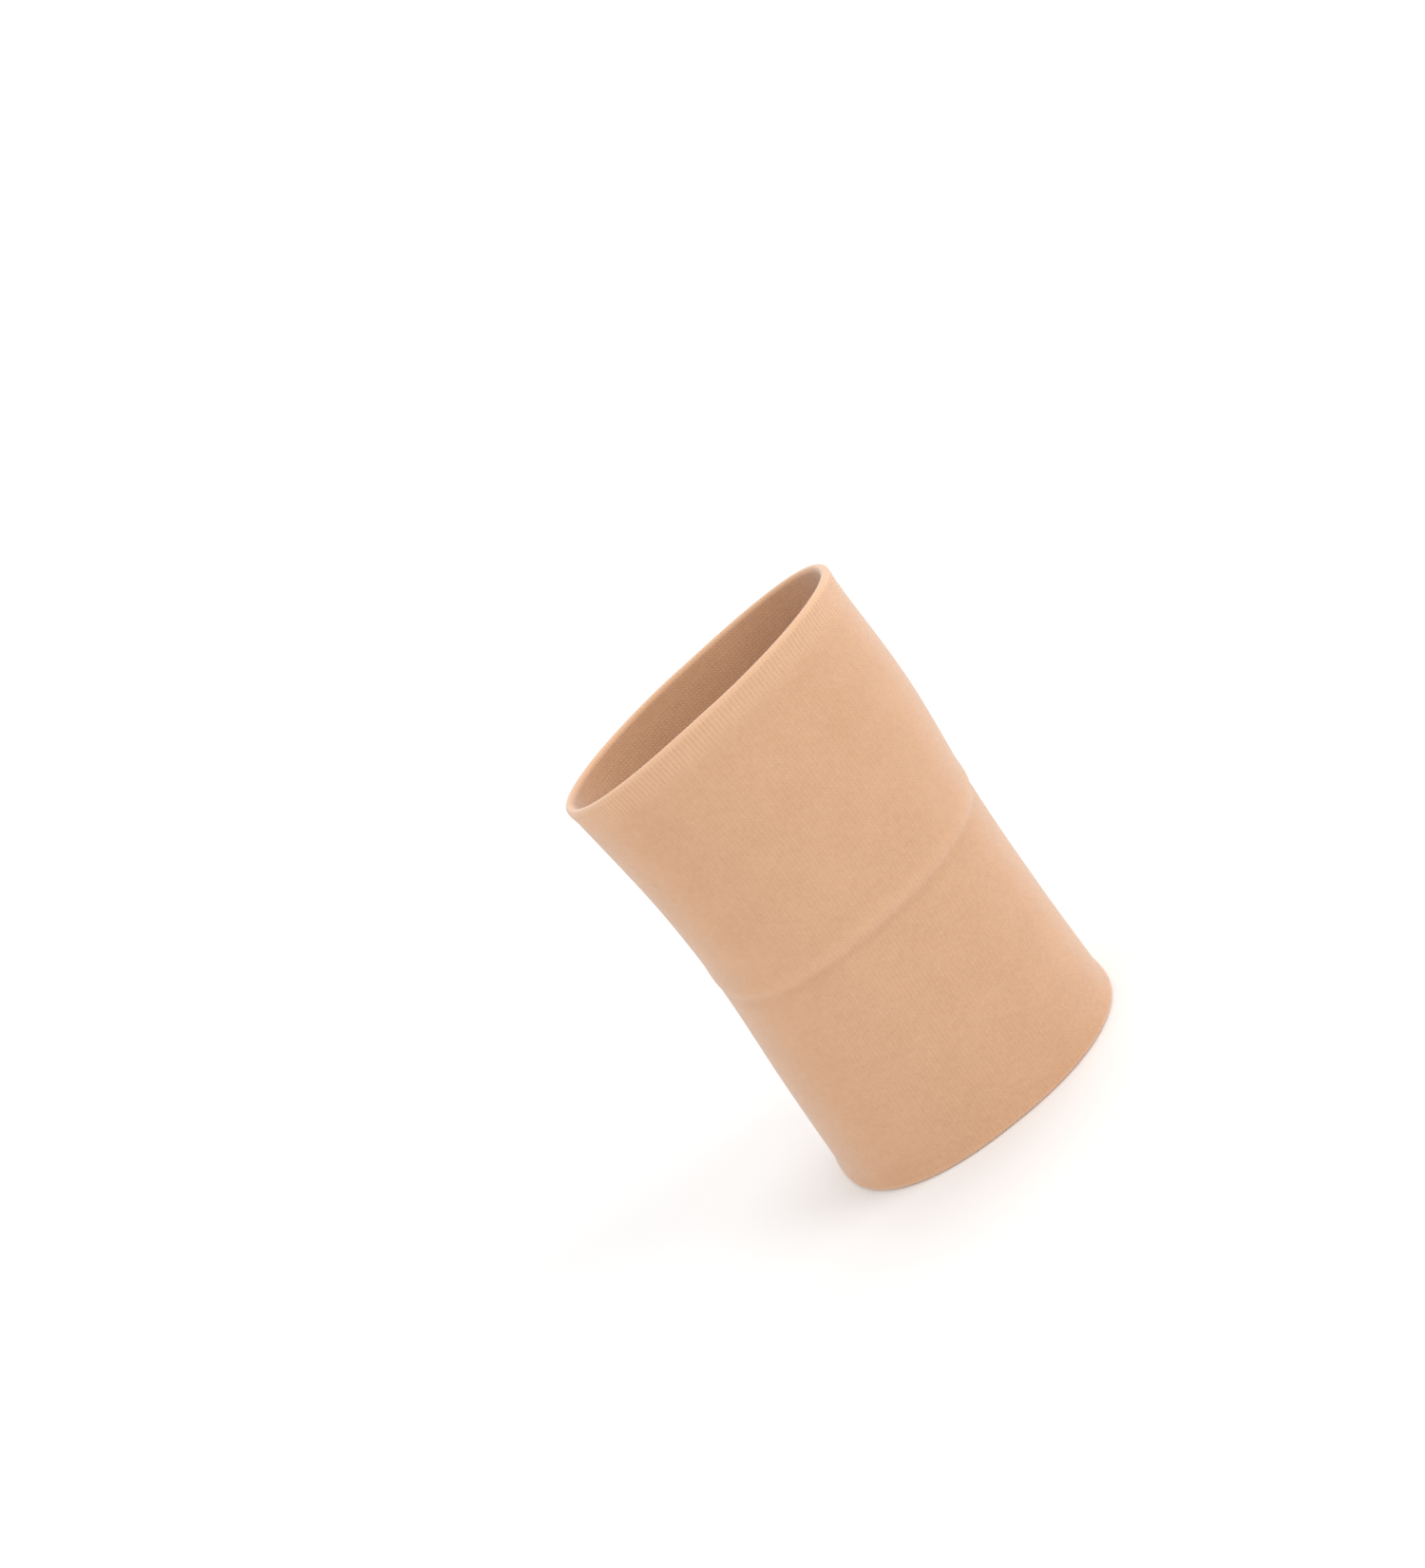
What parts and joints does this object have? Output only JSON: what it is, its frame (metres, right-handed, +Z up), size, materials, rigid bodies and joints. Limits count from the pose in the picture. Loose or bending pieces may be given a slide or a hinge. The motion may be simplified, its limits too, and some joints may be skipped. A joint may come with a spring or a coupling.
{
  "type": "wrist support sleeve",
  "caption": "Soft elastic knit sleeve for the wrist, a doubled tube folded at both rims and joined inside at mid-length, that supports the joint by gentle compression.",
  "frame": {"origin": "middle of the bounding box's bottom, in the plane of the forearm rim that the sleeve stands on", "axes": "+Z up from the forearm rim to the hand rim, +X towards the thumb side, -Y towards the palm side, +Y towards the back of the hand"},
  "size_m": [0.061, 0.0496, 0.0929],
  "materials": {
    "outer_knit": "matte fine plain knit, right side out",
    "lining_knit": "matte fine plain knit, right side to the skin",
    "sewing_thread": "matte textured overlock thread"
  },
  "bodies": {
    "forearm_part": {"forearm_fold": "outer_knit", "outer_tube_forearm": "outer_knit", "outer_tube_wrist": "outer_knit", "lining_forearm": "lining_knit", "lining_wrist": "lining_knit", "join_lip_forearm": "lining_knit", "join_lip_hand": "lining_knit", "join_needle_thread": "sewing_thread", "join_looper_thread": "sewing_thread"},
    "hand_part": {"outer_tube_hand": "outer_knit", "lining_hand": "lining_knit", "hand_fold": "outer_knit"}
  },
  "joints": [
    {"name": "wrist_flex", "type": "hinge", "parent": "forearm_part", "child": "hand_part", "pos_m": [0.00156, -0.00185, 0.06397], "axis": [1, 0, 0], "range_deg": [-15, 15], "stiffness_Nm_per_rad": 0.02, "deforming": ["outer_tube_wrist", "lining_wrist"]}
  ]
}
